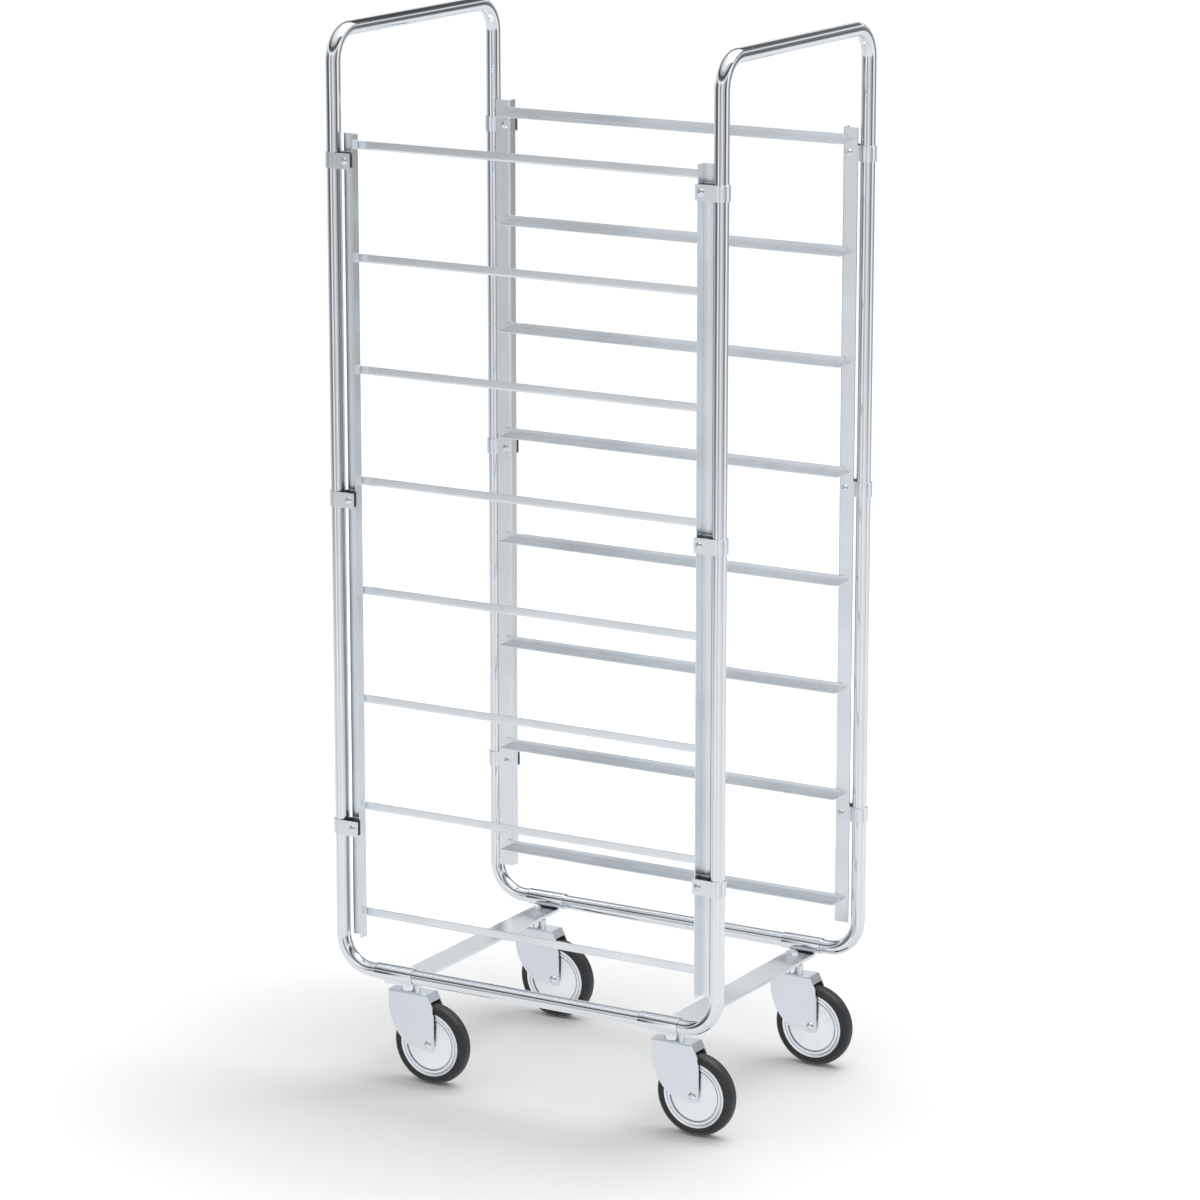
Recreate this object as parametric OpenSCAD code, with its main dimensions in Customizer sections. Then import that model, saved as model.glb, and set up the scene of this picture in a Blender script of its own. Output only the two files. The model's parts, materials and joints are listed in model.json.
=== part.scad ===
// Container rack trolley: two bent tube end frames stand on a base of tubes and
// crossbars with four swivel casters, and carry a front and a rear ladder of
// angle rails that stacking containers slide on.
// X runs along the rails, Y across them and Z up. The origin is on the floor,
// under the middle of the trolley.

/* [End frames] */
// Distance between the two end frames, from leg axis to leg axis along X
frame_span = 639; // [560:1:780]
// Distance between the two legs of an end frame, axis to axis along Y
frame_depth = 441; // [360:1:540]
// Height from the top rail's upper edge to the axis of the handle bar
handle_rise = 157; // [80:1:260]
// Outer diameter of the frame tube
tube_od = 22; // [18:0.5:27]
// Wall thickness of the frame tube
tube_wall = 1.5; // [1:0.1:2.5]
// Bend radius at the foot of each leg, on the tube's axis
foot_bend = 50; // [35:1:70]
// Bend radius at the ends of the handle bar, on the tube's axis
handle_bend = 45; // [30:1:70]

/* [Base] */
// Length of the sleeves that join the end frames to the base tubes
sleeve_len = 65; // [48:1:90]
// Wall thickness of the sleeves
sleeve_wall = 1.6; // [1.2:0.1:3]
// Straight tube left showing between a sleeve and the foot bend
stub_show = 10; // [2:1:40]
// Width of the flat crossbars that carry the casters
crossbar_w = 42; // [32:1:60]
// Thickness of the crossbars
crossbar_t = 5; // [3:0.5:8]
// Distance from the base tube's axis in to a caster's swivel axis, along Y
caster_inset = 37.5; // [32:0.5:60]

/* [Ladders] */
// Height from one rail to the next
rail_pitch = 165; // [110:1:240]
// Height from the base tube's axis to the underside of the lowest rail
first_rail_rise = 78; // [60:1:140]
// Height of a rail's upright flange
rail_h = 13; // [10:0.5:24]
// Depth of a rail's level flange
rail_d = 23; // [15:0.5:35]
// Sheet thickness of the rails
rail_t = 2.5; // [1.5:0.1:3]
// Length of rail that lies on the face of each post
rail_lap = 8.5; // [5:0.5:14]
// Width of a post's flange along X
post_w = 24; // [20:0.5:32]
// Width of a post's flange along Y
post_d = 17; // [12:0.5:20]
// Sheet thickness of the posts
post_t = 2; // [1.5:0.1:3]
// How far the posts' inner faces lie inside the legs
post_set_in = 0.5; // [0:0.1:3]
// Length of post above the top rail
post_above = 10; // [4:1:60]
// Length of post below the lowest rail
post_below = 30; // [10:1:45]

/* [Clamps] */
// Height of a clamp strap
strap_h = 23; // [18:0.5:26]
// Sheet thickness of a clamp strap
strap_t = 2; // [1.2:0.1:2.5]
// Height of the black filler block inside a clamp
block_h = 18; // [12:0.5:18]
// Diameter of a clamp screw's shank
screw_d = 6; // [4:0.5:7]
// Diameter of the domed screw and nut heads
head_d = 11.5; // [9:0.5:13]
// Height of the domed heads
head_h = 3.2; // [2:0.1:5]
// Distance from a post's corner edge to the screw's axis, along X
screw_edge = 9; // [8:0.5:12]

/* [Casters] */
// Diameter over the tyre
wheel_d = 125; // [100:1:160]
// Width of the tyre
tyre_w = 24; // [20:0.5:32]
// Diameter of the rim that the tyre sits on
rim_d = 100; // [80:1:112]
// Gap above the tyre, under the fork's top plate
wheel_gap = 14; // [12:0.5:25]
// Distance from the swivel axis to the wheel's axis, along X
trail = 40; // [30:1:55]
// Sheet thickness of the pressed fork
fork_t = 2.3; // [1.5:0.1:3]
// Height of the swivel bearing between fork and crossbar
bearing_h = 16; // [12:0.5:25]
// Diameter of the swivel bearing
bearing_d = 27; // [22:0.5:32]
// Diameter of the kingpin
kingpin_d = 10; // [8:0.5:12]
// Width across the flats of the kingpin's head and nut
kingpin_flats = 17; // [15:0.5:19]
// Diameter of the wheel axle
axle_d = 8; // [6:0.5:10]

/* [Hidden] */
$fn = 96;
eps = 0.1;
corners = ["front_left", "front_right", "rear_left", "rear_right"];
rails = 8;

// Clearances between neighbouring pieces
sleeve_fit = 0.15;  // radial, tube in sleeve and tube in clamp
pin_fit = 0.05;     // radial, a shaft in the hole that turns on it
bolt_fit = 0.15;    // radial, a bolt in a plain hole
face_gap = 0.2;     // between faces that slide past each other
block_gap = 0.1;    // round the filler block in its clamp
tube_gap = 1;       // between tube ends inside a sleeve

// Plan positions, all for the corner at +X, +Y
leg_x = frame_span / 2;
leg_y = frame_depth / 2;
tube_r = tube_od / 2;
sleeve_r = tube_r + sleeve_fit + sleeve_wall;
king_x = leg_x - foot_bend - stub_show - sleeve_len / 2;
king_y = leg_y - caster_inset;
post_face = leg_y - tube_r - post_set_in;
post_edge = leg_x - tube_r;
post_corner = post_edge - post_w;
rail_end = post_corner + rail_lap;
screw_x = post_corner + screw_edge;

// Heights above the floor
axle_z = wheel_d / 2;
fork_top = wheel_d + wheel_gap + fork_t;
bar_z = fork_top + bearing_h;
base_z = bar_z + crossbar_t + sleeve_r;
first_rail = base_z + first_rail_rise;
top_rail = first_rail + (rails - 1) * rail_pitch;
post_foot = first_rail - post_below;
post_top = top_rail + rail_h + post_above;
handle_z = top_rail + rail_h + handle_rise;

// A clamp sits under the top rail and under the second rail, and one between them
top_clamp = top_rail - 15;
foot_clamp = first_rail + rail_pitch - 25;
clamp_heights = [foot_clamp, (foot_clamp + top_clamp) / 2, top_clamp];

// Clamp strap, measured from the leg's axis
strap_in = tube_r + sleeve_fit;
strap_out = strap_in + strap_t;
ear_len = leg_x - post_corner - 2 * face_gap;
foot_len = ear_len - fold(post_t);
ear_low = post_face + post_t - leg_y;
block_end = post_corner + post_t + 15.5;

// Fork outline and wheel
fork_w = tyre_w + 2 * (0.7 + fork_t);
fork_in = fork_w - 2 * fork_t;
fork_round = 3.5;
plate_front = 28.5;
plate_back = 38.5;
boss_r = 10;
lip_drop = 12;
lip_run = 6;
stud_x = 20;
stud_y = 9;
stud_d = 8;
stud_gap = 0.8;
hub_r = 11;
rim_r = rim_d / 2;
hex = 1 / cos(30);  // from half the flats to half the corners
king_head = 6.4;
king_nut = 8;
washer_d = 21;
washer_t = 1.6;
thread_show = 2;

// Outer bend radius of folded sheet
function fold(t) = 1.3 * t;
function side_x(c) = (c == "front_right" || c == "rear_right") ? 1 : -1;
function side_y(c) = (c == "rear_left" || c == "rear_right") ? 1 : -1;
function bezier(a, b, c, n) =
    [for (i = [0 : n]) let (t = i / n) (1 - t) * (1 - t) * a + 2 * t * (1 - t) * b + t * t * c];

// Mirrors a shape made for the +X, +Y corner into corner c
module at_corner(c) {
    mirror([side_x(c) < 0 ? 1 : 0, 0, 0])
        mirror([0, side_y(c) < 0 ? 1 : 0, 0])
            children();
}

// Moves a shape made about a caster's swivel axis to corner c; casters aren't mirrored
module at_caster(c) {
    translate([side_x(c) * king_x, side_y(c) * king_y, 0]) children();
}

// Turns an XY outline to lie in XZ and gives it a width along Y, centred
module across_y(width) {
    rotate([90, 0, 0]) linear_extrude(height = width, center = true) children();
}

module tube_ring() {
    difference() {
        circle(r = tube_r);
        circle(r = tube_r - tube_wall);
    }
}

module quarter_bend(radius) {
    rotate_extrude(angle = 90) translate([radius, 0]) tube_ring();
}

// One end frame at +X: foot stubs, foot bends, legs, handle bends and handle bar
module end_frame() {
    color("silver") {
        for (m = [0, 1]) mirror([0, m, 0]) {
            translate([king_x + tube_gap / 2, leg_y, base_z])
                rotate([0, 90, 0])
                    linear_extrude(height = leg_x - foot_bend - king_x - tube_gap / 2) tube_ring();
            translate([leg_x - foot_bend, leg_y, base_z + foot_bend])
                rotate([90, 0, 0]) rotate([0, 0, -90]) quarter_bend(foot_bend);
            translate([leg_x, leg_y, base_z + foot_bend])
                linear_extrude(height = handle_z - handle_bend - base_z - foot_bend) tube_ring();
            translate([leg_x, leg_y - handle_bend, handle_z - handle_bend])
                rotate([90, 0, 90]) quarter_bend(handle_bend);
        }
        translate([leg_x, 0, handle_z])
            rotate([90, 0, 0])
                linear_extrude(height = 2 * (leg_y - handle_bend), center = true) tube_ring();
    }
}

// Straight tube along X between two sleeves
module base_tube(sy) {
    color("silver")
        translate([0, sy * leg_y, base_z])
            rotate([0, 90, 0])
                linear_extrude(height = 2 * king_x - tube_gap, center = true) tube_ring();
}

// Sleeve over the joint between an end frame's stub and a base tube
module sleeve(c) {
    color("gainsboro")
        translate([side_x(c) * king_x, side_y(c) * leg_y, base_z])
            rotate([0, 90, 0])
                linear_extrude(height = sleeve_len, center = true)
                    difference() {
                        circle(r = sleeve_r);
                        circle(r = tube_r + sleeve_fit);
                    }
}

// Flat bar under the sleeves, drilled for a kingpin at each end
module crossbar(sx) {
    color("lightgray")
        translate([sx * king_x, 0, bar_z])
            linear_extrude(height = crossbar_t)
                difference() {
                    square([crossbar_w, 2 * leg_y], center = true);
                    for (sy = [-1, 1])
                        translate([0, sy * king_y]) circle(d = kingpin_d + 2 * bolt_fit);
                }
}

// Angle section with its corner at the origin, rounded outside and inside
module angle_section(a, b, t) {
    bend = fold(t);
    translate([bend, 0]) square([a - bend, t]);
    translate([0, bend]) square([t, b - bend]);
    translate([bend, bend])
        intersection() {
            difference() {
                circle(r = bend);
                circle(r = bend - t);
            }
            translate([-bend, -bend]) square(bend);
        }
}

// Upright angle post: one flange behind the leg, one turned outwards
module post(c) {
    color("lightsteelblue")
        at_corner(c)
            difference() {
                translate([post_corner, post_face, post_foot])
                    linear_extrude(height = post_top - post_foot) angle_section(post_w, post_d, post_t);
                for (z = clamp_heights)
                    translate([screw_x, post_face + post_t / 2, z])
                        rotate([90, 0, 0])
                            cylinder(d = screw_d + 2 * bolt_fit, h = post_t + 2 * eps, center = true);
            }
}

// Container rail number k from the bottom, on the ladder at side sy
module rail(k, sy) {
    color("silver")
        mirror([0, sy < 0 ? 1 : 0, 0])
            translate([0, post_face, first_rail + (k - 1) * rail_pitch])
                rotate([90, 0, -90])
                    linear_extrude(height = 2 * rail_end, center = true)
                        angle_section(rail_d, rail_h, rail_t);
}

// The three straps of one leg: each wraps the tube and ends in two flat ears
module clamps(c) {
    color("lightgray")
        at_corner(c)
            for (z = clamp_heights)
                difference() {
                    translate([leg_x, leg_y, z])
                        linear_extrude(height = strap_h, center = true) strap_outline();
                    translate([screw_x, leg_y, z])
                        rotate([90, 0, 0])
                            cylinder(d = screw_d + 2 * bolt_fit, h = 4 * strap_out, center = true);
                }
}

module strap_outline() {
    difference() {
        union() {
            circle(r = strap_out);
            translate([-ear_len, strap_in]) square([ear_len, strap_t]);
            translate([-foot_len, ear_low]) square([foot_len, strap_t]);
        }
        circle(r = strap_in);
        translate([-strap_out - eps, ear_low + strap_t])
            square([strap_out + eps, strap_in - ear_low - strap_t]);
    }
}

// Filler blocks between the ears, each stepped round the post's outer flange
module clamp_blocks() {
    low = leg_y + ear_low + strap_t + block_gap;
    high = leg_y + strap_in - block_gap;
    step = post_face + post_d + 3 * block_gap;
    inner = post_corner + post_t + 2 * block_gap;
    color([0.08, 0.08, 0.08])
        for (c = corners) at_corner(c)
            for (z = clamp_heights)
                difference() {
                    translate([0, 0, z])
                        linear_extrude(height = block_h, center = true) {
                            translate([inner, low])
                                square([block_end - inner, high - low]);
                            translate([post_corner, step])
                                square([block_end - post_corner, high - step]);
                        }
                    translate([screw_x, (low + high) / 2, z])
                        rotate([90, 0, 0])
                            cylinder(d = screw_d + 2 * bolt_fit, h = high - low + 2 * eps, center = true);
                }
}

// Low dome of radius r and height h, standing on the XY plane
module dome(r, h) {
    ball = (r * r + h * h) / (2 * h);
    rotate_extrude()
        intersection() {
            translate([0, h - ball]) circle(r = ball);
            square([r, h]);
        }
}

// Domed screws through ears, block and post, with their heads on the outer ears
module clamp_screws() {
    tip = post_face - head_h / 2;
    seat = leg_y + strap_out;
    color("gainsboro")
        for (c = corners) at_corner(c)
            for (z = clamp_heights)
                translate([screw_x, seat, z]) {
                    rotate([-90, 0, 0]) dome(head_d / 2, head_h);
                    rotate([90, 0, 0]) cylinder(d = screw_d, h = seat - tip);
                }
}

// Domed nuts on the posts' inner faces
module clamp_nuts() {
    color("gainsboro")
        for (c = corners) at_corner(c)
            for (z = clamp_heights)
                translate([screw_x, post_face, z])
                    rotate([90, 0, 0])
                        difference() {
                            dome(head_d / 2, head_h);
                            translate([0, 0, -eps])
                                cylinder(d = screw_d + 2 * pin_fit, h = head_h / 2 + 2 * eps);
                        }
}

// Kingpins: hexagon heads inside the forks, shanks up through the crossbars
module kingpins() {
    head_top = fork_top - fork_t - face_gap;
    tip = bar_z + crossbar_t + washer_t + king_nut + thread_show;
    color("silver")
        for (c = corners) at_caster(c)
            translate([0, 0, head_top]) {
                translate([0, 0, -king_head])
                    cylinder(d = kingpin_flats * hex, h = king_head, $fn = 6);
                cylinder(d = kingpin_d, h = tip - head_top);
            }
}

// Hexagon nuts with their washers, on top of the crossbars
module kingpin_nuts() {
    color("gainsboro")
        for (c = corners) at_caster(c)
            translate([0, 0, bar_z + crossbar_t])
                difference() {
                    union() {
                        cylinder(d = washer_d, h = washer_t);
                        translate([0, 0, washer_t])
                            cylinder(d = kingpin_flats * hex, h = king_nut, $fn = 6);
                    }
                    translate([0, 0, -eps])
                        cylinder(d = kingpin_d + 2 * pin_fit, h = washer_t + king_nut + 2 * eps);
                }
}

// Bearing housing between fork and crossbar, fixed to the crossbar
module swivel_bearing(c) {
    color("gainsboro")
        at_caster(c)
            translate([0, 0, fork_top + face_gap])
                linear_extrude(height = bearing_h - face_gap)
                    difference() {
                        circle(d = bearing_d);
                        circle(d = kingpin_d + 2 * bolt_fit);
                    }
}

// Side view of the fork: a broad blade that runs back and down to the axle boss
module fork_side() {
    sweep = bezier(
        [-plate_front, fork_top - 16],
        [-plate_front - 1.5, axle_z + 23.5],
        [2, axle_z - 3],
        10
    );
    rear_edge = [
        [trail, axle_z - boss_r],
        [trail + boss_r, axle_z],
        [trail + boss_r, fork_top - 36],
        [plate_back + lip_run * 19 / lip_drop, fork_top - 19],
        [plate_back, fork_top],
        [-plate_front, fork_top]
    ];
    polygon(concat(sweep, rear_edge));
    translate([trail, axle_z]) circle(r = boss_r);
}

// Upside-down U across the fork, with rounded shoulders of radius r
module fork_arch(width, top, r) {
    foot = axle_z - boss_r - 1;
    translate([-width / 2, foot]) square([width, top - r - foot]);
    translate([-width / 2 + r, top - r]) square([width - 2 * r, r]);
    for (s = [-1, 1]) translate([s * (width / 2 - r), top - r]) circle(r = r);
}

// Pressed fork with its turned-down lip and the stud on its top plate
module caster_fork(c) {
    color("lightgray")
        at_caster(c) {
            difference() {
                intersection() {
                    translate([-100, 0, 0])
                        rotate([90, 0, 90])
                            linear_extrude(height = 200)
                                difference() {
                                    fork_arch(fork_w, fork_top, fork_round);
                                    translate([0, -eps])
                                        fork_arch(fork_in, fork_top - fork_t + eps, fork_round - fork_t);
                                }
                    across_y(2 * fork_w) fork_side();
                }
                translate([0, 0, fork_top - fork_w / 2])
                    cylinder(d = kingpin_d + 2 * pin_fit, h = fork_w);
                translate([trail, 0, axle_z])
                    rotate([90, 0, 0])
                        cylinder(d = axle_d + 2 * bolt_fit, h = 2 * fork_w, center = true);
            }
            across_y(fork_in + 2 * eps)
                polygon([
                    [plate_back - 1.1 * fork_t, fork_top],
                    [plate_back, fork_top],
                    [plate_back + lip_run, fork_top - lip_drop],
                    [plate_back + lip_run - 1.1 * fork_t, fork_top - lip_drop]
                ]);
            translate([stud_x, -stud_y, fork_top - fork_t / 2])
                cylinder(d = stud_d, h = bearing_h + fork_t / 2 - stud_gap);
        }
}

// Axle screw with a domed socket head at -Y, and its hexagon nut at +Y
module axle(c) {
    nut_h = 6.5;
    socket = 5;
    cheek = fork_w / 2;
    color("gainsboro")
        at_caster(c)
            translate([trail, 0, axle_z]) {
                difference() {
                    translate([0, -cheek, 0])
                        rotate([90, 0, 0]) dome(6.5, 3.6);
                    translate([0, -cheek - 1.4, 0])
                        rotate([90, 0, 0]) cylinder(d = socket * hex, h = 10, $fn = 6);
                }
                translate([0, -cheek - eps, 0])
                    rotate([-90, 0, 0]) cylinder(d = axle_d, h = 2 * cheek + nut_h + eps);
                translate([0, cheek, 0])
                    rotate([-90, 0, 0])
                        difference() {
                            cylinder(d = 13 * hex, h = nut_h, $fn = 6);
                            translate([0, 0, -eps])
                                cylinder(d = axle_d + 2 * pin_fit, h = nut_h + 2 * eps);
                        }
            }
}

// Half section of the rim: hub, flat disc, groove and stepped ring
module rim_section() {
    bore = axle_d / 2 + pin_fit;
    hub = fork_in / 2 - 0.3;
    disc = 9.5;
    seat = tyre_w / 2 - 1.2;
    edge = [
        [bore, hub],
        [hub_r, hub],
        [hub_r, disc],
        [rim_r - 11, disc],
        [rim_r - 10, disc - 1.2],
        [rim_r - 9, disc - 1.2],
        [rim_r - 8.4, seat - 0.3],
        [rim_r - 6, seat - 0.3],
        [rim_r - 5.4, seat - 0.9],
        [rim_r - 4.4, seat - 0.9],
        [rim_r - 3.8, seat - 0.3],
        [rim_r - 0.8, seat],
        [rim_r, seat - 0.8]
    ];
    below = [for (i = [len(edge) - 1 : -1 : 0]) [edge[i][0], -edge[i][1]]];
    polygon(concat(edge, below));
}

module wheel_rim(c) {
    color("whitesmoke")
        at_caster(c)
            translate([trail, 0, axle_z])
                rotate([90, 0, 0]) rotate_extrude() rim_section();
}

// Tyre with a flat tread and round shoulders
module tyre(c) {
    shoulder = 5;
    wheel_r = wheel_d / 2;
    foot = rim_r + 0.05;
    side = tyre_w / 2;
    color([0.12, 0.12, 0.12])
        at_caster(c)
            translate([trail, 0, axle_z])
                rotate([90, 0, 0])
                    rotate_extrude() {
                        translate([foot, shoulder - side])
                            square([wheel_r - foot, tyre_w - 2 * shoulder]);
                        translate([foot, -side])
                            square([wheel_r - shoulder - foot, tyre_w]);
                        for (s = [-1, 1])
                            translate([wheel_r - shoulder, s * (side - shoulder)]) circle(r = shoulder);
                    }
}

mirror([1, 0, 0]) end_frame();  // end_frame_left
end_frame();  // end_frame_right
base_tube(-1);  // base_tube_front
base_tube(1);  // base_tube_rear
crossbar(-1);  // crossbar_left
crossbar(1);  // crossbar_right
clamp_blocks();
clamp_screws();
clamp_nuts();
kingpins();
kingpin_nuts();
for (k = [1 : rails]) {
    rail(k, -1);
    rail(k, 1);
}
for (c = corners) {
    sleeve(c);
    post(c);
    clamps(c);
    swivel_bearing(c);
    caster_fork(c);
    axle(c);
    wheel_rim(c);
    tyre(c);
}
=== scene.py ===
"""Looks for the container rack trolley: finishes, smooth tubes, softened sheet, wheels, stage."""

import json
import math

import bmesh
import bpy
import numpy as np
from bpy.props import (
    FloatProperty,
    FloatVectorProperty,
    IntProperty,
    PointerProperty,
)
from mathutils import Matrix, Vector


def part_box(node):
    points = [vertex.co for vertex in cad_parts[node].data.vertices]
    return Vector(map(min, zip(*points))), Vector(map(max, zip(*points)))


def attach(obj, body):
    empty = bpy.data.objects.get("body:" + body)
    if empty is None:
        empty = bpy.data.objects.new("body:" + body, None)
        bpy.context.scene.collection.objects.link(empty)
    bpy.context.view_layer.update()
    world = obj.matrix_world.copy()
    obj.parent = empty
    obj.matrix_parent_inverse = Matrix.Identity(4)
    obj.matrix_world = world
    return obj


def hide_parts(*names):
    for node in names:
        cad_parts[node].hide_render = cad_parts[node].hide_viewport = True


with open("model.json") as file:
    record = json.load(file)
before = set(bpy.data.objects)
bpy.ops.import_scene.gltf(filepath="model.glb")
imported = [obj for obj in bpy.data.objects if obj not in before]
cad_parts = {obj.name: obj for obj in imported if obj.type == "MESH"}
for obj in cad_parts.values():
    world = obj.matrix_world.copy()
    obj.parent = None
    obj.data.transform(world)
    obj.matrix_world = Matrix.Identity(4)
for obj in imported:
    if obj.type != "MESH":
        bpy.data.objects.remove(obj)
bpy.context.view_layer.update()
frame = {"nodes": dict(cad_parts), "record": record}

bl_info = {
    "name": "Container Rack Trolley",
    "version": (1, 0, 0),
    "blender": (4, 5, 0),
    "location": "View3D > Sidebar > Trolley",
    "description": "Finishes and detail for a tube-frame container rack trolley",
    "category": "Object",
}

CORNERS = ("front_left", "front_right", "rear_left", "rear_right")
RAILS = 8
BODY_OF = {
    node: body
    for body, nodes in frame["record"]["behaviour"]["bodies"].items() for node in nodes}


# ---------------------------------------------------------------- sizes from the frame

def centre(node):
    """Middle of a CAD node's box, as an array."""
    low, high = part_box(node)
    return (np.array(low) + np.array(high)) / 2


def extent(node):
    """Size of a CAD node's box, as an array."""
    low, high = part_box(node)
    return np.array(high) - np.array(low)


TUBE_R = float(extent("base_tube_front")[2]) / 2
SLEEVE_R = float(extent("sleeve_front_right")[2]) / 2
TYRE_R = float(extent("tyre_front_right")[2]) / 2
TYRE_W = float(extent("tyre_front_right")[1])
RIM_R = float(extent("wheel_rim_front_right")[2]) / 2

# Clearance between a sleeve and the tubes in it, and the rounds on its outer and bore edges
SLEEVE_GAP = 0.0002
SLEEVE_ROUND = 0.0005
BORE_ROUND = 0.0002

# Width of the round on the edges of each kind of sheet or moulded piece
EDGE_ROUND = {
    "post": 0.0005, "rail": 0.0006, "crossbar": 0.0009,
    "clamp": 0.0005, "block": 0.0005, "fork": 0.0006}
# Edges sharper than this are rounded, vertices nearer than this are one, and faces that lie
# this nearly in one plane are joined
ROUND_ANGLE = math.radians(35)
SAME_PLACE = 2e-6
SAME_PLANE = math.radians(0.5)
# Edges sharper than this stay sharp on the smooth tubes
SHARP_ANGLE = math.radians(40)


# ---------------------------------------------------------------- meshes from arrays

def new_piece(name, points, faces, body, material, smooth=True):
    """Puts point and face arrays in a mesh object at the origin that rides on a body."""
    mesh = bpy.data.meshes.new(name)
    mesh.from_pydata(points.tolist(), [], faces.tolist())
    mesh.update()
    if smooth:
        mesh.shade_smooth()
    piece = bpy.data.objects.new(name, mesh)
    bpy.context.scene.collection.objects.link(piece)
    mesh.materials.append(material)
    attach(piece, body)
    return piece


def grid_faces(rows, cols, start=0, flip=False):
    """Quads of a grid that is open along its rows and closed round its columns."""
    i, j = np.meshgrid(np.arange(rows - 1), np.arange(cols), indexing="ij")
    k = (j + 1) % cols
    quads = np.stack((i * cols + j, i * cols + k, (i + 1) * cols + k, (i + 1) * cols + j), -1)
    quads = quads.reshape(-1, 4) + start
    return quads[:, ::-1] if flip else quads


def band_faces(a, b, flip=False):
    """Quads between two rings of vertex numbers."""
    quads = np.stack((a, np.roll(a, -1), np.roll(b, -1), b), -1)
    return quads[:, ::-1] if flip else quads


def ring_tube(path, e1, e2, outer, inner, cols=64):
    """Hollow tube: point = path + r (cos t e1 + sin t e2), once at the outer radius and once
    at the inner one, with flat rings closing both ends. e1 x e2 points along the path."""
    t = np.linspace(0, 2 * np.pi, cols, endpoint=False)
    ring = np.cos(t)[None, :, None] * e1[:, None, :] + np.sin(t)[None, :, None] * e2[:, None, :]
    rows = len(path)
    points = np.concatenate([(path[:, None, :] + r * ring).reshape(-1, 3) for r in (outer, inner)])
    n = rows * cols
    first, last = np.arange(cols), np.arange(cols) + (rows - 1) * cols
    faces = np.concatenate([
        grid_faces(rows, cols, 0),
        grid_faces(rows, cols, n, flip=True),
        band_faces(first, first + n, flip=True),
        band_faces(last, last + n),
    ])
    return points, faces


def revolve(profile, at, axis="y", cols=128):
    """Turned solid: a closed outline of (radius, width) pairs is carried round an axis, so
    point = at + radius (cos t, sin t) across the axis + width along it."""
    t = np.linspace(0, 2 * np.pi, cols, endpoint=False)
    r, w = profile[:, 0][:, None], profile[:, 1][:, None]
    a, b, c = r * np.cos(t), r * np.sin(t), np.broadcast_to(w, (len(profile), cols))
    order = {"y": (b, c, a), "z": (a, b, c)}[axis]
    points = np.stack(order, -1) + np.asarray(at)
    rows = len(profile)
    i, j = np.meshgrid(np.arange(rows), np.arange(cols), indexing="ij")
    i2, j2 = (i + 1) % rows, (j + 1) % cols
    faces = np.stack((i * cols + j, i * cols + j2, i2 * cols + j2, i2 * cols + j), -1)
    return points.reshape(-1, 3), faces.reshape(-1, 4)


def rounded_outline(corners, steps=6):
    """Closed outline with rounded corners: each corner (x, y, radius) becomes a quadratic curve
    from one radius before it to one radius after it."""
    c = np.asarray(corners, float)
    p, r = c[:, :2], c[:, 2:3]
    before, after = np.roll(p, 1, 0) - p, np.roll(p, -1, 0) - p
    before /= np.linalg.norm(before, axis=1, keepdims=True)
    after /= np.linalg.norm(after, axis=1, keepdims=True)
    t = np.linspace(0, 1, steps)[None, :, None]
    a, b = (p + before * r)[:, None], (p + after * r)[:, None]
    curve = (1 - t) ** 2 * a + 2 * t * (1 - t) * p[:, None] + t ** 2 * b
    return curve.reshape(-1, 2)


# ---------------------------------------------------------------- finishes

class Nodes:
    """Shorthand for building one material's node tree."""

    def __init__(self, name):
        self.mat = bpy.data.materials.new(name)
        self.mat.use_nodes = True
        self.tree = self.mat.node_tree
        self.shader = self.tree.nodes["Principled BSDF"]
        self.coords = self.add("TexCoord")

    def add(self, kind, **settings):
        node = self.tree.nodes.new("ShaderNode" + kind)
        for key, value in settings.items():
            setattr(node, key, value)
        return node

    def link(self, source, target):
        self.tree.links.new(source, target)

    def mapped(self, scale):
        """Object coordinates stretched by a scale on each axis."""
        mapping = self.add("Mapping")
        mapping.inputs["Scale"].default_value = scale
        self.link(self.coords.outputs["Object"], mapping.inputs["Vector"])
        return mapping.outputs["Vector"]

    def noise(self, scale, stretch=(1, 1, 1), detail=3.0, roughness=0.55):
        """Noise over the object, as a value from 0 to 1."""
        node = self.add("TexNoise")
        node.inputs["Scale"].default_value = scale
        node.inputs["Detail"].default_value = detail
        node.inputs["Roughness"].default_value = roughness
        self.link(self.mapped(stretch), node.inputs["Vector"])
        return node.outputs["Fac"]

    def span(self, value, low, high):
        """Stretches a value's middle range to low..high."""
        node = self.add("MapRange")
        node.inputs["From Min"].default_value = 0.25
        node.inputs["From Max"].default_value = 0.75
        node.inputs["To Min"].default_value = low
        node.inputs["To Max"].default_value = high
        self.link(value, node.inputs["Value"])
        return node.outputs["Result"]

    def ramp(self, value, stops):
        """Colour ramp through (position, colour) stops."""
        node = self.add("ValToRGB")
        ramp = node.color_ramp
        while len(ramp.elements) < len(stops):
            ramp.elements.new(0.5)
        for element, (position, colour) in zip(ramp.elements, stops):
            element.position = position
            element.color = (*colour, 1)
        self.link(value, node.inputs["Fac"])
        return node.outputs["Color"]

    def bump(self, height, strength, distance):
        """Normal that follows a height; the distance is in metres."""
        node = self.add("Bump")
        node.inputs["Strength"].default_value = strength
        node.inputs["Distance"].default_value = distance
        self.link(height, node.inputs["Height"])
        return node.outputs["Normal"]


def shades(colour, spread, stops=((0.3, -1), (0.5, 0), (0.7, 1))):
    """Ramp stops of one colour, darker to lighter by the spread."""
    c = np.array(colour)
    return [(at, tuple(np.clip(c * (1 + spread * k), 0, 1))) for at, k in stops]


# Noise scales of the zinc, in features per metre: tint, patches of gloss and fine grain
TINT_SCALE, PATCH_SCALE, GRAIN_SCALE = 9.0, 60.0, 420.0
PATCH_SHARE = 0.03
GRAIN_DEPTH = 0.0004


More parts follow.
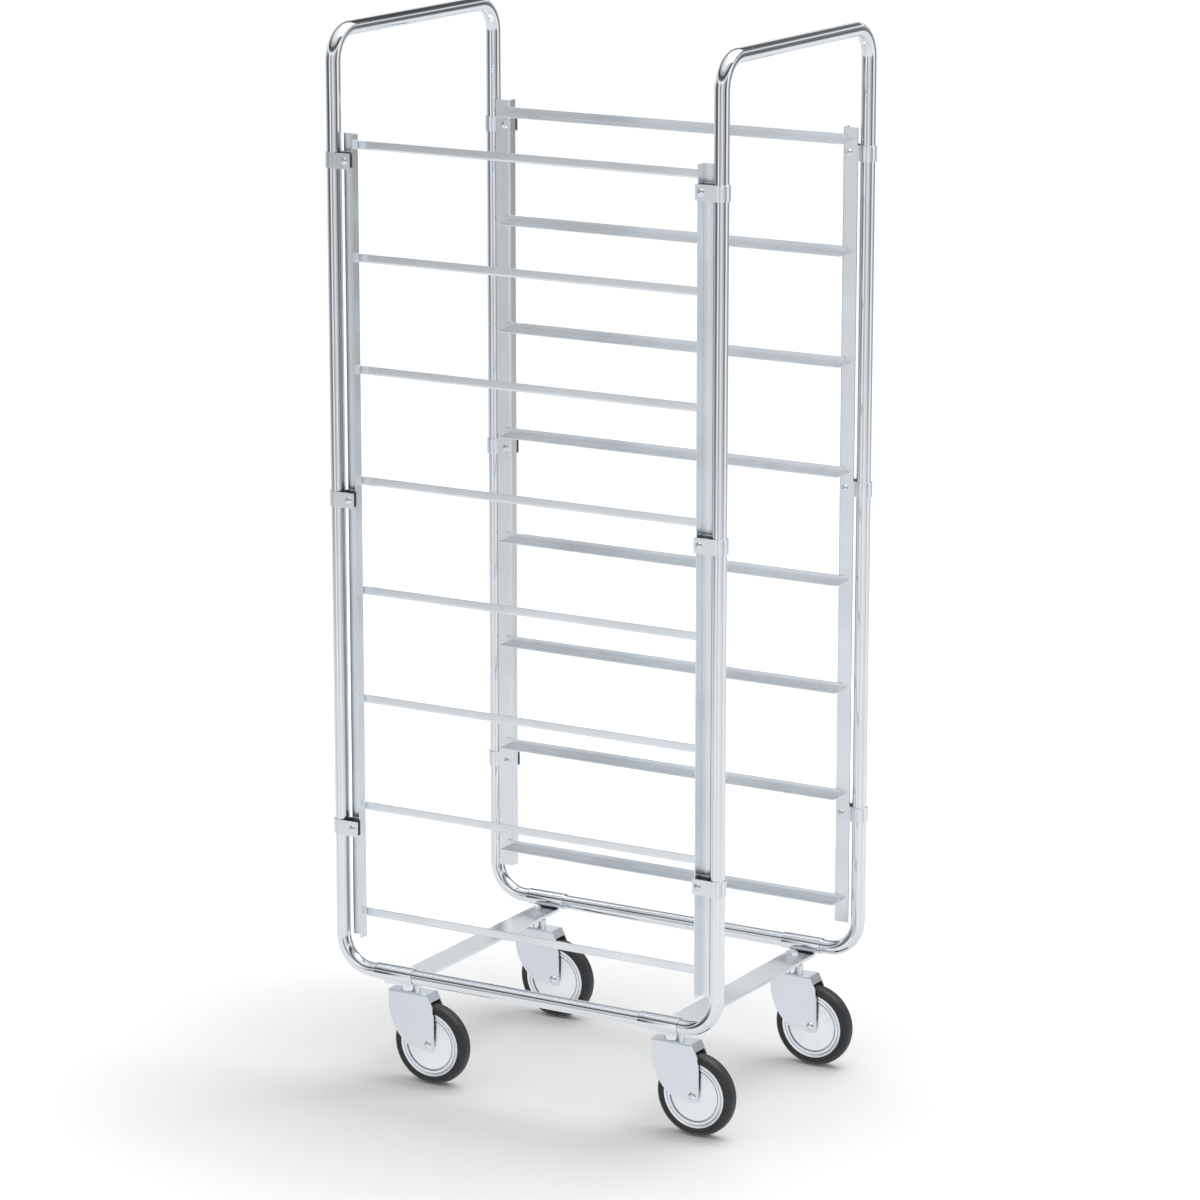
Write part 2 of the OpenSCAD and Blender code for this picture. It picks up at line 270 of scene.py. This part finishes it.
def zinc_finish(name, colour, rough, spread, grain=(1, 1, 1), bump=0.05, vary=0.16):
    """Zinc plating: metal with a cloudy tint and a fine grain, drawn out along the axes whose
    grain factor is under 1. The roughness varies by the vary and patch shares of itself."""
    n = Nodes(name)
    s = n.shader.inputs
    s["Metallic"].default_value = 1.0
    cloud = n.noise(TINT_SCALE, detail=4.0)
    n.link(n.ramp(cloud, shades(colour, spread)), s["Base Color"])
    fine = n.noise(GRAIN_SCALE, grain, detail=2.0)
    patches = n.noise(PATCH_SCALE, detail=2.0)
    mixed = n.add("Math", operation="ADD")
    n.link(n.span(fine, rough * (1 - vary), rough * (1 + vary)), mixed.inputs[0])
    n.link(n.span(patches, -PATCH_SHARE * rough, PATCH_SHARE * rough), mixed.inputs[1])
    n.link(mixed.outputs[0], s["Roughness"])
    n.link(n.bump(fine, bump, GRAIN_DEPTH), s["Normal"])
    return n.mat


# Painted shade in the rim's grooves, and its most share of the colour
GROOVE_SHADE_COLOUR = (0.22, 0.24, 0.27, 1)
GROOVE_SHADE_SHARE = 0.45
# Phase of the turned rings per metre of radius: one ring every 1.2 mm
RING_RATE = 5200.0


def turned_finish(name, colour, rough, axle, grooves):
    """Turned rim: fine rings round the axle, with each groove, given by its radius and width,
    darkened by painted shade. The radius is the length of the place less the axle's."""
    n = Nodes(name)
    s = n.shader.inputs
    s["Metallic"].default_value = 1.0
    less = n.add("VectorMath", operation="SUBTRACT")
    less.inputs[1].default_value = axle
    n.link(n.coords.outputs["Object"], less.inputs[0])
    level = n.add("VectorMath", operation="MULTIPLY")
    level.inputs[1].default_value = (1, 0, 1)
    n.link(less.outputs[0], level.inputs[0])
    radius = n.add("VectorMath", operation="LENGTH")
    n.link(level.outputs[0], radius.inputs[0])
    cloud = n.ramp(n.noise(14.0, detail=4.0), shades(colour, 0.04))
    # Each groove is mixed towards a dark blue grey: painted shade in the recess
    for at, width in grooves:
        off = n.add("Math", operation="SUBTRACT")
        off.inputs[1].default_value = at
        n.link(radius.outputs["Value"], off.inputs[0])
        size = n.add("Math", operation="ABSOLUTE")
        n.link(off.outputs[0], size.inputs[0])
        near = n.add("MapRange", interpolation_type="SMOOTHSTEP")
        near.inputs["From Min"].default_value = width * 0.5
        near.inputs["From Max"].default_value = width * 1.2
        near.inputs["To Min"].default_value = GROOVE_SHADE_SHARE
        near.inputs["To Max"].default_value = 0.0
        n.link(size.outputs[0], near.inputs["Value"])
        dust_and_shade = n.add("MixRGB")
        dust_and_shade.inputs[2].default_value = GROOVE_SHADE_COLOUR
        n.link(near.outputs["Result"], dust_and_shade.inputs["Fac"])
        n.link(cloud, dust_and_shade.inputs[1])
        cloud = dust_and_shade.outputs[0]
    n.link(cloud, s["Base Color"])
    rings = n.add("Math", operation="MULTIPLY")
    rings.inputs[1].default_value = RING_RATE
    n.link(radius.outputs["Value"], rings.inputs[0])
    wave = n.add("Math", operation="SINE")
    n.link(rings.outputs[0], wave.inputs[0])
    n.link(n.span(n.noise(90.0), rough * 0.85, rough * 1.15), s["Roughness"])
    n.link(n.bump(wave.outputs[0], 0.012, 0.0001), s["Normal"])
    return n.mat


def rubber_finish(name, colour):
    """Tyre rubber: near black with cloudy dust and a fine moulded grain."""
    n = Nodes(name)
    s = n.shader.inputs
    s["Specular IOR Level"].default_value = 0.45
    dust_and_shade = n.noise(35.0, detail=5.0)
    n.link(n.ramp(dust_and_shade, shades(colour, 0.25)), s["Base Color"])
    n.link(n.span(n.noise(260.0), 0.42, 0.62), s["Roughness"])
    n.link(n.bump(n.noise(900.0, detail=2.0), 0.12, 0.0003), s["Normal"])
    return n.mat


def shade_block_finish(name, colour):
    """Black filler with an eroded grain: the block inside each clamp is black to paint the shade
    in there.
    """
    n = Nodes(name)
    s = n.shader.inputs
    n.link(n.ramp(n.noise(60.0), shades(colour, 0.2)), s["Base Color"])
    n.link(n.span(n.noise(500.0), 0.5, 0.65), s["Roughness"])
    n.link(n.bump(n.noise(1500.0), 0.15, 0.0002), s["Normal"])
    return n.mat


FINISHES = {}


def finish(name):
    """The material of that name, made once."""
    if name not in FINISHES:
        look = bpy.context.scene.trolley_finish
        makers = {
            "tube": lambda: zinc_finish(
                "bright_zinc_tube", look.tube_colour, look.tube_roughness, 0.03,
                grain=(1, 1, 0.06), bump=0.02),
            "sheet": lambda: zinc_finish(
                "satin_zinc_sheet", look.sheet_colour, look.sheet_roughness, 0.05,
                bump=0.001, vary=0.02),
            "clamp": lambda: zinc_finish(
                "satin_zinc_clamp", look.sheet_colour, look.sheet_roughness * 1.1, 0.05,
                bump=0.001, vary=0.02),
            "caster": lambda: zinc_finish(
                "bluish_zinc_caster", look.caster_colour, look.sheet_roughness * 1.2, 0.03,
                bump=0.002, vary=0.03),
            "bolt": lambda: zinc_finish(
                "bright_zinc_bolt", look.tube_colour, look.tube_roughness * 1.1, 0.05,
                bump=0.06),
            "rubber": lambda: rubber_finish("black_rubber", look.rubber_colour),
            "inner_shade": lambda: shade_block_finish("black_shade_block", (0.02, 0.02, 0.022)),
        }
        FINISHES[name] = makers[name]()
    return FINISHES[name]


def soften(node, name, width):
    """Stands for a CAD node with a copy whose edges are rounded: its loose triangles are merged,
    its flush faces joined, and every edge sharper than ROUND_ANGLE gets a narrow round. The old
    corner normals no longer fit, so they go, and large faces set the new ones."""
    mesh = frame["nodes"][node].data.copy()
    mesh.name = "soft_" + node
    work = bmesh.new()
    work.from_mesh(mesh)
    bmesh.ops.remove_doubles(work, verts=work.verts, dist=SAME_PLACE)
    bmesh.ops.dissolve_limit(
        work, angle_limit=SAME_PLANE, verts=work.verts, edges=work.edges)
    work.to_mesh(mesh)
    work.free()
    stale = mesh.attributes.get("custom_normal")
    if stale:
        mesh.attributes.remove(stale)
    mesh.shade_smooth()
    piece = bpy.data.objects.new("soft_" + node, mesh)
    bpy.context.scene.collection.objects.link(piece)
    bevel = piece.modifiers.new("round_edges", "BEVEL")
    bevel.width = width
    bevel.segments = 2
    bevel.limit_method = "ANGLE"
    bevel.angle_limit = ROUND_ANGLE
    flat = piece.modifiers.new("flat_faces", "WEIGHTED_NORMAL")
    flat.mode = "FACE_AREA"
    flat.weight = 100
    mesh.materials.clear()
    mesh.materials.append(finish(name))
    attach(piece, BODY_OF[node])
    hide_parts(node)


def dress(nodes, name):
    """Gives CAD nodes a finish."""
    for node in nodes:
        mesh = frame["nodes"][node].data
        mesh.materials.clear()
        mesh.materials.append(finish(name))


# Brightness by angle in degrees: PANELS goes round the trolley, with 0 at the camera's side, and
# HEIGHTS goes up from below the floor to overhead
PANELS = (
    (-180, 0.80), (-128, 0.90), (-104, 0.35), (-82, 0.06), (-65, 0.10), (-56, 0.85), (-48, 1.25),
    (-30, 0.30), (0, 0.95), (30, 0.50), (52, 0.02), (62, 0.30), (78, 1.30), (98, 0.70),
    (118, 0.14), (142, 0.50), (180, 0.80))
HEIGHTS = (
    (-90, 0.85), (-30, 1.00), (-16, 1.08), (2, 1.00), (18, 1.20), (26, 0.14), (34, 0.03),
    (41, 0.45), (58, 1.0), (90, 1.25))
# Share that PANELS has in the light at each height
EYE_LEVEL = (
    (-90, 0.0), (-20, 0.04), (-15, 0.25), (-10, 0.85), (-6, 1.0), (8, 0.95), (14, 0.80),
    (18, 0.08), (90, 0.0))
# Brightness of the even light that matt surfaces get
FILL = 1.12


def studio_light(tree, azimuth):
    """World light of a studio: its brightness follows the angle above the floor, and near eye
    level the angle round the trolley too, where pale panels and dark gaps stand between them.
    What the camera sees directly is plain white."""
    tree.nodes.clear()

    def add(kind, **settings):
        node = tree.nodes.new("ShaderNode" + kind)
        for key, value in settings.items():
            setattr(node, key, value)
        return node

    def spread(value, low, high):
        node = add("MapRange")
        node.inputs["From Min"].default_value = low
        node.inputs["From Max"].default_value = high
        tree.links.new(value, node.inputs["Value"])
        return node.outputs["Result"]

    def ramp(value, stops):
        node = add("ValToRGB")
        node.color_ramp.interpolation = "EASE"
        while len(node.color_ramp.elements) < len(stops):
            node.color_ramp.elements.new(0.5)
        for element, (position, level) in zip(node.color_ramp.elements, stops):
            element.position = position
            element.color = (level * 0.97, level * 0.99, level, 1)
        tree.links.new(value, node.inputs["Fac"])
        return node.outputs["Color"]

    coords, split = add("TexCoord"), add("SeparateXYZ")
    tree.links.new(coords.outputs["Generated"], split.inputs[0])
    around = add("Math", operation="ARCTAN2")
    turn = azimuth - math.pi / 2
    mapping = add("Mapping")
    mapping.inputs["Rotation"].default_value = (0, 0, -turn)
    turned = add("SeparateXYZ")
    tree.links.new(coords.outputs["Generated"], mapping.inputs["Vector"])
    tree.links.new(mapping.outputs["Vector"], turned.inputs[0])
    tree.links.new(turned.outputs["Y"], around.inputs[0])
    tree.links.new(turned.outputs["X"], around.inputs[1])
    rise = add("Math", operation="ARCSINE")
    tree.links.new(split.outputs["Z"], rise.inputs[0])
    degrees = math.pi / 180
    ring = ramp(spread(around.outputs[0], -180 * degrees, 180 * degrees), [
        ((a + 180) / 360, level) for a, level in PANELS])
    high = ramp(spread(rise.outputs[0], -90 * degrees, 90 * degrees), [
        ((a + 90) / 180, level) for a, level in HEIGHTS])
    share = ramp(spread(rise.outputs[0], -90 * degrees, 90 * degrees), [
        ((a + 90) / 180, level) for a, level in EYE_LEVEL])
    mix = add("MixRGB")
    tree.links.new(share, mix.inputs["Fac"])
    tree.links.new(high, mix.inputs[1])
    tree.links.new(ring, mix.inputs[2])
    sky, seen = add("Background"), add("Background")
    path, choose, out = add("LightPath"), add("MixShader"), add("OutputWorld")
    shine = add("MixRGB")
    shine.inputs[1].default_value = (FILL, FILL, FILL, 1)
    tree.links.new(path.outputs["Is Glossy Ray"], shine.inputs["Fac"])
    tree.links.new(mix.outputs[0], shine.inputs[2])
    tree.links.new(shine.outputs[0], sky.inputs["Color"])
    seen.inputs["Color"].default_value = (1, 1, 1, 1)
    tree.links.new(path.outputs["Is Camera Ray"], choose.inputs["Fac"])
    tree.links.new(sky.outputs[0], choose.inputs[1])
    tree.links.new(seen.outputs[0], choose.inputs[2])
    tree.links.new(choose.outputs[0], out.inputs["Surface"])


# ---------------------------------------------------------------- properties

class TrolleyFinish(bpy.types.PropertyGroup):
    """Colours and roughness of the finishes."""

    tube_colour: FloatVectorProperty(
        name="Tube colour", description="Colour of the bright zinc tubes",
        subtype="COLOR", size=3, min=0, max=1, default=(0.75, 0.77, 0.80))
    tube_roughness: FloatProperty(
        name="Tube roughness", description="Roughness of the bright zinc tubes",
        subtype="FACTOR", min=0.02, max=0.6, default=0.075)
    sheet_colour: FloatVectorProperty(
        name="Sheet colour", description="Colour of posts, rails, straps and crossbars",
        subtype="COLOR", size=3, min=0, max=1, default=(0.80, 0.83, 0.86))
    sheet_roughness: FloatProperty(
        name="Sheet roughness", description="Roughness of the satin zinc sheet",
        subtype="FACTOR", min=0.1, max=0.8, default=0.26)
    caster_colour: FloatVectorProperty(
        name="Caster colour", description="Colour of the caster forks",
        subtype="COLOR", size=3, min=0, max=1, default=(0.75, 0.785, 0.82))
    rim_colour: FloatVectorProperty(
        name="Rim colour", description="Colour of the wheel rims",
        subtype="COLOR", size=3, min=0, max=1, default=(0.80, 0.83, 0.86))
    rubber_colour: FloatVectorProperty(
        name="Rubber colour", description="Colour of the tyres",
        subtype="COLOR", size=3, min=0, max=1, default=(0.022, 0.022, 0.024))


class TrolleyTubes(bpy.types.PropertyGroup):
    """Sizes of the bent tubes; they follow the tube frame's own sizes."""

    foot_bend: FloatProperty(
        name="Foot bend", description="Bend radius at the feet, on the tube's axis",
        subtype="DISTANCE", unit="LENGTH", min=0.03, max=0.08, default=0.050)
    handle_bend: FloatProperty(
        name="Handle bend", description="Bend radius at the handles, on the tube's axis",
        subtype="DISTANCE", unit="LENGTH", min=0.03, max=0.08, default=0.045)
    wall: FloatProperty(
        name="Wall", description="Wall thickness of the tubes",
        subtype="DISTANCE", unit="LENGTH", min=0.001, max=0.003, default=0.0015)
    bend_steps: IntProperty(
        name="Bend steps", description="Rings of faces in each bend", min=8, max=64, default=24)


class TrolleyStage(bpy.types.PropertyGroup):
    """Camera, lights and floor."""

    azimuth: FloatProperty(
        name="Azimuth", description="Angle of the camera to the right of straight on",
        subtype="ANGLE", unit="ROTATION", default=math.radians(30.295))
    distance: FloatProperty(
        name="Distance", description="Level distance from camera to trolley",
        subtype="DISTANCE", unit="LENGTH", default=6.942)
    height: FloatProperty(
        name="Height", description="Height of the camera above the floor",
        subtype="DISTANCE", unit="LENGTH", default=2.402)
    aim: FloatProperty(
        name="Aim", description="Height of the point that the camera looks at",
        subtype="DISTANCE", unit="LENGTH", default=0.731)
    lens: FloatProperty(
        name="Lens", description="Focal length of the camera in millimetres",
        min=20, max=300, default=144.5)
    floor_colour: FloatVectorProperty(
        name="Floor colour", description="Colour of the floor",
        subtype="COLOR", size=3, min=0, max=1, default=(0.93, 0.93, 0.93))


# ---------------------------------------------------------------- pieces

def arc(at, radius, start, end, u, v, steps):
    """Points and tangents of an arc: at + radius (cos a u + sin a v) for a from start to end."""
    a = np.linspace(start, end, steps + 1)[:, None]
    points = at + radius * (np.cos(a) * u + np.sin(a) * v)
    return points, -np.sin(a) * u + np.cos(a) * v


def end_frame_path(side, sizes):
    """Axis of one end frame with two unit vectors across it. Half of it runs from the stub at
    the rear round the foot bend, up the leg and round the handle bend to the bar's middle; its
    mirror image in Y follows in reverse. The left frame is the right one turned half round."""
    low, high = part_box("end_frame_right")
    leg_x, leg_y = high[0] - TUBE_R, high[1] - TUBE_R
    top, base, start = high[2] - TUBE_R, low[2] + TUBE_R, low[0]
    x, y, z = np.eye(3)
    foot, foot_t = arc(
        np.array((leg_x - sizes.foot_bend, leg_y, base + sizes.foot_bend)),
        sizes.foot_bend, -np.pi / 2, 0, x, z, sizes.bend_steps)
    bend, bend_t = arc(
        np.array((leg_x, leg_y - sizes.handle_bend, top - sizes.handle_bend)),
        sizes.handle_bend, 0, np.pi / 2, y, z, sizes.bend_steps)
    path = np.vstack(([start, leg_y, base], foot, bend, [leg_x, 0, top]))
    tangent = np.vstack((x, foot_t, bend_t, -y))
    lower = np.arange(len(path)) <= len(foot)
    e1 = np.where(lower[:, None], np.cross(y, tangent), x)
    e2 = np.where(lower[:, None], y, np.cross(tangent, x))
    flip = np.array((1, -1, 1))
    path, e1, e2 = (np.vstack((v, v[-2::-1] * flip)) for v in (path, e1, e2))
    if side < 0:
        turn = np.array((-1, -1, 1))
        path, e1, e2 = path * turn, e1 * turn, e2 * turn
    return path, e1, e2


class TROLLEY_OT_end_frames(bpy.types.Operator):
    """Bent tube end frames as smooth hollow tubes"""

    bl_idname = "trolley.end_frames"
    bl_label = "End Frames"

    def execute(self, context):
        sizes = context.scene.trolley_tubes
        for side, node in ((-1, "end_frame_left"), (1, "end_frame_right")):
            path, e1, e2 = end_frame_path(side, sizes)
            points, faces = ring_tube(path, e1, e2, TUBE_R, TUBE_R - sizes.wall)
            piece = new_piece(
                "tube_" + node, points, faces, "frame", finish("tube"))
            piece.data.set_sharp_from_angle(angle=SHARP_ANGLE)
            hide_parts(node)
        return {"FINISHED"}


class TROLLEY_OT_base_tubes(bpy.types.Operator):
    """Straight base tubes and the sleeves over their joints, with rolled edges"""

    bl_idname = "trolley.base_tubes"
    bl_label = "Base Tubes and Sleeves"

    def execute(self, context):
        sizes = context.scene.trolley_tubes
        x, y, z = np.eye(3)
        for node in ("base_tube_front", "base_tube_rear"):
            low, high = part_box(node)
            mid = centre(node)
            path = np.array(((low[0], mid[1], mid[2]), (high[0], mid[1], mid[2])))
            points, faces = ring_tube(
                path, np.tile(y, (2, 1)), np.tile(z, (2, 1)), TUBE_R, TUBE_R - sizes.wall)
            piece = new_piece("tube_" + node, points, faces, "frame", finish("tube"))
            piece.data.set_sharp_from_angle(angle=SHARP_ANGLE)
            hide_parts(node)
        for corner in CORNERS:
            node = "sleeve_" + corner
            half = float(extent(node)[0]) / 2
            inner = TUBE_R + SLEEVE_GAP
            outline = rounded_outline((
                (SLEEVE_R, -half, SLEEVE_ROUND), (SLEEVE_R, half, SLEEVE_ROUND),
                (inner, half, BORE_ROUND), (inner, -half, BORE_ROUND)), 5)
            points, faces = revolve(outline, (0, 0, 0), "z", 96)
            points = points[:, [2, 0, 1]] + centre(node)
            piece = new_piece("tube_" + node, points, faces, "frame", finish("tube"))
            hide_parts(node)
        return {"FINISHED"}


class TROLLEY_OT_ladders(bpy.types.Operator):
    """Rounded edges and finish for posts, rails and crossbars"""

    bl_idname = "trolley.ladders"
    bl_label = "Ladders and Crossbars"

    def execute(self, context):
        for corner in CORNERS:
            soften("post_" + corner, "sheet", EDGE_ROUND["post"])
        for side in ("front", "rear"):
            for k in range(RAILS):
                soften(f"{side}_rail_{k + 1}", "sheet", EDGE_ROUND["rail"])
        for side in ("left", "right"):
            soften("crossbar_" + side, "sheet", EDGE_ROUND["crossbar"])
        return {"FINISHED"}


class TROLLEY_OT_clamps(bpy.types.Operator):
    """Rounded clamp straps and black filler blocks that paint the shade inside the clamps, and
    finish for screws, nuts and kingpins
    """

    bl_idname = "trolley.clamps"
    bl_label = "Clamps"

    def execute(self, context):
        for corner in CORNERS:
            soften("clamps_" + corner, "clamp", EDGE_ROUND["clamp"])
        # The clamp blocks are black: painted shade for the dark inside of each clamp
        soften("clamp_blocks", "inner_shade", EDGE_ROUND["block"])
        dress(["clamp_screws", "clamp_nuts", "kingpins", "kingpin_nuts"], "bolt")
        return {"FINISHED"}


# Steps round a wheel
WHEEL_COLUMNS = 160


def rim_outline():
    """Closed outline of a rim, each corner (radius, width, round): hub, disc, groove, raised
    ring, second groove and seat on one side, and the same mirrored on the other."""
    seat = RIM_R
    face = (
        (0.00405, 0.0124, 0.0002), (0.0110, 0.0124, 0.0008), (0.0116, 0.0095, 0.0006),
        (seat - 0.0114, 0.0091, 0.0004), (seat - 0.0112, 0.0074, 0.0002),
        (seat - 0.0098, 0.0074, 0.0002), (seat - 0.0093, 0.0106, 0.0006),
        (seat - 0.0058, 0.0106, 0.0004), (seat - 0.0055, 0.0097, 0.0002),
        (seat - 0.0047, 0.0097, 0.0002), (seat - 0.0043, 0.0106, 0.0003),
        (seat - 0.0006, 0.0110, 0.0004), (seat - 0.0002, 0.0104, 0.0003))
    return rounded_outline(face[::-1] + tuple((r, -w, q) for r, w, q in face), 5)


def tyre_outline():
    """Closed outline of a tyre, each corner (radius, width, round): tread, shoulder, side wall
    and seat on one side, and the same mirrored on the other."""
    half, seat = TYRE_W / 2, RIM_R
    side = (
        (TYRE_R, half - 0.0052, 0.0040), (TYRE_R - 0.0048, half, 0.0034),
        (seat + 0.0045, half, 0.0008), (seat + 0.0035, half - 0.0007, 0.0005),
        (seat + 0.0001, half - 0.0008, 0.0003))
    outline = side + tuple((r, -w, q) for r, w, q in side[::-1])
    return rounded_outline(outline, 8)[::-1]


class TROLLEY_OT_casters(bpy.types.Operator):
    """Rounded forks, finish for bearings and axles, and turned rims and tyres"""

    bl_idname = "trolley.casters"
    bl_label = "Casters"

    def execute(self, context):
        for corner in CORNERS:
            soften("caster_fork_" + corner, "caster", EDGE_ROUND["fork"])
        dress(["swivel_bearing_" + c for c in CORNERS], "bolt")
        dress(["axle_" + c for c in CORNERS], "bolt")
        look = context.scene.trolley_finish
        disc, tread = rim_outline(), tyre_outline()
        for corner in CORNERS:
            node = "wheel_rim_" + corner
            turned = turned_finish(
                "turned_rim_" + corner, look.rim_colour, look.sheet_roughness * 1.1,
                centre(node), ((RIM_R - 0.0105, 0.0009), (RIM_R - 0.0051, 0.0006)))
            points, faces = revolve(disc, centre(node), "y", WHEEL_COLUMNS)
            piece = new_piece(
                "turned_" + node, points, faces, "wheel_" + corner, turned)
            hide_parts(node)
        for corner in CORNERS:
            node = "tyre_" + corner
            points, faces = revolve(tread, centre(node), "y", WHEEL_COLUMNS)
            piece = new_piece(
                "rolled_" + node, points, faces, "wheel_" + corner, finish("rubber"))
            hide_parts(node)
        return {"FINISHED"}


# Half the floor's side; its colour near the trolley as a share of its own, which is painted shade
# under and round the trolley, and where that share holds and ends
FLOOR_HALF = 60.0
FLOOR_SHADE_SHARE = 0.60
FLOOR_NEAR, FLOOR_FAR = 0.30, 1.7
# Softbox over the trolley: place, side and power in watts
LAMP_AT = (0.9, 0.9, 3.8)
LAMP_SIZE = 2.8
LAMP_POWER = 125
# Camera: sensor in millimetres, sideways step to the left and farthest distance it draws
SENSOR = 36.0
STEP_LEFT = 0.003
CLIP_END = 200.0


class TROLLEY_OT_stage(bpy.types.Operator):
    """Pale floor with painted shade round the trolley, soft studio light and camera"""

    bl_idname = "trolley.stage"
    bl_label = "Stage"

    def execute(self, context):
        look = context.scene.trolley_stage
        scene = context.scene
        size = FLOOR_HALF
        mesh = bpy.data.meshes.new("floor")
        mesh.from_pydata(
            [(-size, -size, 0), (size, -size, 0), (size, size, 0), (-size, size, 0)],
            [], [(0, 1, 2, 3)])
        floor = bpy.data.objects.new("floor", mesh)
        scene.collection.objects.link(floor)
        # The floor's colour darkens towards the trolley: painted shade under and round it
        n = Nodes("pale_floor")
        spread = n.add("VectorMath", operation="LENGTH")
        n.link(n.coords.outputs["Object"], spread.inputs[0])
        away = n.add("MapRange", interpolation_type="SMOOTHSTEP")
        away.inputs["From Min"].default_value = FLOOR_NEAR
        away.inputs["From Max"].default_value = FLOOR_FAR
        n.link(spread.outputs["Value"], away.inputs["Value"])
        pale = np.array(look.floor_colour)
        near = tuple(pale * FLOOR_SHADE_SHARE)
        floor_with_shade = n.ramp(away.outputs["Result"], ((0.0, near), (1.0, tuple(pale))))
        n.link(floor_with_shade, n.shader.inputs["Base Color"])
        n.shader.inputs["Roughness"].default_value = 0.9
        n.shader.inputs["Specular IOR Level"].default_value = 0.1
        mesh.materials.append(n.mat)
        floor.visible_glossy = False

        world = bpy.data.worlds.new("soft_studio")
        world.use_nodes = True
        scene.world = world
        studio_light(world.node_tree, look.azimuth)
        scene.view_settings.view_transform = "Standard"

        data = bpy.data.lights.new("overhead_softbox", "AREA")
        data.shape, data.size, data.size_y = "RECTANGLE", LAMP_SIZE, LAMP_SIZE
        data.energy = LAMP_POWER
        lamp = bpy.data.objects.new("overhead_softbox", data)
        scene.collection.objects.link(lamp)
        lamp.location = LAMP_AT
        lamp.rotation_euler = (-Vector(LAMP_AT)).to_track_quat("-Z", "Y").to_euler()

        camera = bpy.data.objects.new("camera", bpy.data.cameras.new("camera"))
        scene.collection.objects.link(camera)
        camera.data.lens = look.lens
        camera.data.sensor_width = SENSOR
        a = look.azimuth
        back = Vector((math.sin(a), -math.cos(a), 0))
        right = Vector((math.cos(a), math.sin(a), 0))
        camera.location = back * look.distance - right * STEP_LEFT + Vector((0, 0, look.height))
        aim = Vector((0, 0, look.aim)) - right * STEP_LEFT
        camera.rotation_euler = (aim - camera.location).to_track_quat("-Z", "Y").to_euler()
        camera.data.clip_end = CLIP_END
        scene.camera = camera
        return {"FINISHED"}


class TROLLEY_PT_panel(bpy.types.Panel):
    """Lists the trolley's pieces and settings"""

    bl_idname = "TROLLEY_PT_panel"
    bl_label = "Rack Trolley"
    bl_space_type = "VIEW_3D"
    bl_region_type = "UI"
    bl_category = "Trolley"

    def draw(self, context):
        column = self.layout.column(align=True)
        for operator in OPERATORS:
            column.operator(operator.bl_idname)
        for group in (
            context.scene.trolley_finish, context.scene.trolley_tubes,
            context.scene.trolley_stage,
        ):
            box = self.layout.box()
            for key in group.bl_rna.properties.keys():
                if key not in ("rna_type", "name"):
                    box.prop(group, key)


OPERATORS = (
    TROLLEY_OT_end_frames,
    TROLLEY_OT_base_tubes,
    TROLLEY_OT_ladders,
    TROLLEY_OT_clamps,
    TROLLEY_OT_casters,
    TROLLEY_OT_stage,
)
CLASSES = (TrolleyFinish, TrolleyTubes, TrolleyStage) + OPERATORS + (TROLLEY_PT_panel,)


def register():
    for cls in CLASSES:
        bpy.utils.register_class(cls)
    bpy.types.Scene.trolley_finish = PointerProperty(type=TrolleyFinish)
    bpy.types.Scene.trolley_tubes = PointerProperty(type=TrolleyTubes)
    bpy.types.Scene.trolley_stage = PointerProperty(type=TrolleyStage)


def unregister():
    del bpy.types.Scene.trolley_stage
    del bpy.types.Scene.trolley_tubes
    del bpy.types.Scene.trolley_finish
    for cls in reversed(CLASSES):
        bpy.utils.unregister_class(cls)


def main():
    register()
    bpy.ops.trolley.end_frames()
    bpy.ops.trolley.base_tubes()
    bpy.ops.trolley.ladders()
    bpy.ops.trolley.clamps()
    bpy.ops.trolley.casters()
    bpy.ops.trolley.stage()


if __name__ == "__main__":
    main()
